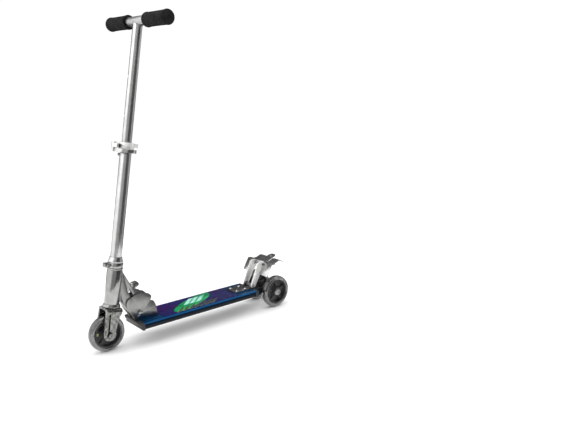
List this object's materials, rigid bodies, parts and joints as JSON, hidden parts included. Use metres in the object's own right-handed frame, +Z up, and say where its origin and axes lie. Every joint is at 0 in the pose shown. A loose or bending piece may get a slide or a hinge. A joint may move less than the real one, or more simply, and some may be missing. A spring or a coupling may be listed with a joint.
{
  "type": "kick scooter",
  "caption": "Folding kick scooter with a steered front wheel, paired rear wheels, telescopic handlebar, folding bracket and pressed foot brake.",
  "frame": {"origin": "centre of the bounding box on the ground", "axes": "+Z up, +Y to the rear, +X to the rider's left"},
  "size_m": [0.2946, 0.6532, 0.8716],
  "materials": {
    "anodised": "blue anodised, satin",
    "foil": "violet-blue metallic foil",
    "satin_metal": "satin grey",
    "polished": "polished",
    "bright_steel": "bright plated",
    "steel": "plain steel",
    "black_metal": "black, semi-matt",
    "teal_cap": "dark teal",
    "black_cap": "black",
    "grip_foam": "soft black",
    "tyre": "smoky polyurethane",
    "hub": "black"
  },
  "bodies": {
    "deck": {"deck_channel": "anodised", "deck_tray": "black_metal", "deck_grip_sheet": "foil", "deck_front_cap": "black_cap", "deck_rear_cap": "teal_cap", "fold_bracket": "satin_metal", "fold_pivot_bolt": "bright_steel", "fold_pivot_nut": "steel", "rear_carrier": "black_metal", "rear_axle": "steel", "rear_axle_nut_left": "steel", "rear_axle_nut_right": "steel", "brake_base": "steel", "brake_base_screw_1": "bright_steel", "brake_base_screw_2": "bright_steel", "brake_base_screw_3": "bright_steel", "brake_base_screw_4": "bright_steel", "brake_hinge_pin": "steel", "brake_spring": "steel"},
    "front_frame": {"fold_arm": "satin_metal", "head_tube": "satin_metal", "headset_lower_cup": "satin_metal", "headset_upper_cup": "satin_metal", "headset_lower_bearing": "steel", "headset_upper_bearing": "steel", "lock_spring": "steel"},
    "latch": {"lock_pin": "steel", "lock_release_tab": "polished"},
    "steering": {"fork": "satin_metal", "front_axle_bolt": "bright_steel", "front_axle_nut": "steel", "headset_collar": "satin_metal", "headset_collar_bolt": "bright_steel", "headset_nut": "polished", "lower_tube": "polished", "clamp_collar": "satin_metal", "clamp_bolt": "bright_steel"},
    "mast": {"mast_tube": "polished", "handlebar": "polished", "grip_left": "grip_foam", "grip_right": "grip_foam"},
    "height_button": {"height_button": "steel"},
    "clamp_lever": {"clamp_lever": "bright_steel"},
    "front_wheel": {"front_tyre": "tyre", "front_hub": "hub", "front_bearing_left": "steel", "front_bearing_right": "steel"},
    "rear_wheel_left": {"rear_tyre_left": "tyre", "rear_hub_left": "hub", "rear_bearing_left_a": "steel", "rear_bearing_left_b": "steel"},
    "rear_wheel_right": {"rear_tyre_right": "tyre", "rear_hub_right": "hub", "rear_bearing_right_a": "steel", "rear_bearing_right_b": "steel"},
    "brake": {"brake_arm_left": "bright_steel", "brake_arm_right": "bright_steel", "brake_blade": "steel", "brake_cross_pin": "steel"}
  },
  "joints": [
    {"name": "fold", "type": "hinge", "parent": "deck", "child": "front_frame", "pos_m": [0, -0.18355, 0.088], "axis": [-1, 0, 0], "range_deg": [0, 72]},
    {"name": "lock_release", "type": "slide", "parent": "front_frame", "child": "latch", "axis": [0, -0.3746, 0.9272], "range_m": [0, 0.008], "stiffness_N_per_m": 400, "springref_m": -0.005, "deforming": ["lock_spring"]},
    {"name": "steering", "type": "hinge", "parent": "front_frame", "child": "steering", "pos_m": [0, -0.26999, 0.05], "axis": [0, 0.1635, 0.9865], "continuous": true},
    {"name": "mast_height", "type": "slide", "parent": "steering", "child": "mast", "axis": [0, -0.1635, -0.9865], "range_m": [0, 0.2]},
    {"name": "height_button", "type": "slide", "parent": "steering", "child": "height_button", "axis": [0.5, 0.8544, -0.1416], "range_m": [0, 0.003], "stiffness_N_per_m": 300, "springref_m": -0.002},
    {"name": "clamp_lever", "type": "hinge", "parent": "steering", "child": "clamp_lever", "pos_m": [-0.0175, -0.21536, 0.53256], "axis": [0, -0.1635, -0.9865], "range_deg": [0, 150]},
    {"name": "front_wheel_spin", "type": "hinge", "parent": "steering", "child": "front_wheel", "pos_m": [0, -0.27655, 0.05], "axis": [1, 0, 0], "continuous": true},
    {"name": "rear_wheel_left_spin", "type": "hinge", "parent": "deck", "child": "rear_wheel_left", "pos_m": [0.047, 0.27655, 0.05], "axis": [1, 0, 0], "continuous": true},
    {"name": "rear_wheel_right_spin", "type": "hinge", "parent": "deck", "child": "rear_wheel_right", "pos_m": [-0.047, 0.27655, 0.05], "axis": [1, 0, 0], "continuous": true},
    {"name": "foot_brake", "type": "hinge", "parent": "deck", "child": "brake", "pos_m": [0, 0.20945, 0.075], "axis": [-1, 0, 0], "range_deg": [0, 28], "stiffness_Nm_per_rad": 1, "springref_deg": -20.05}
  ]
}
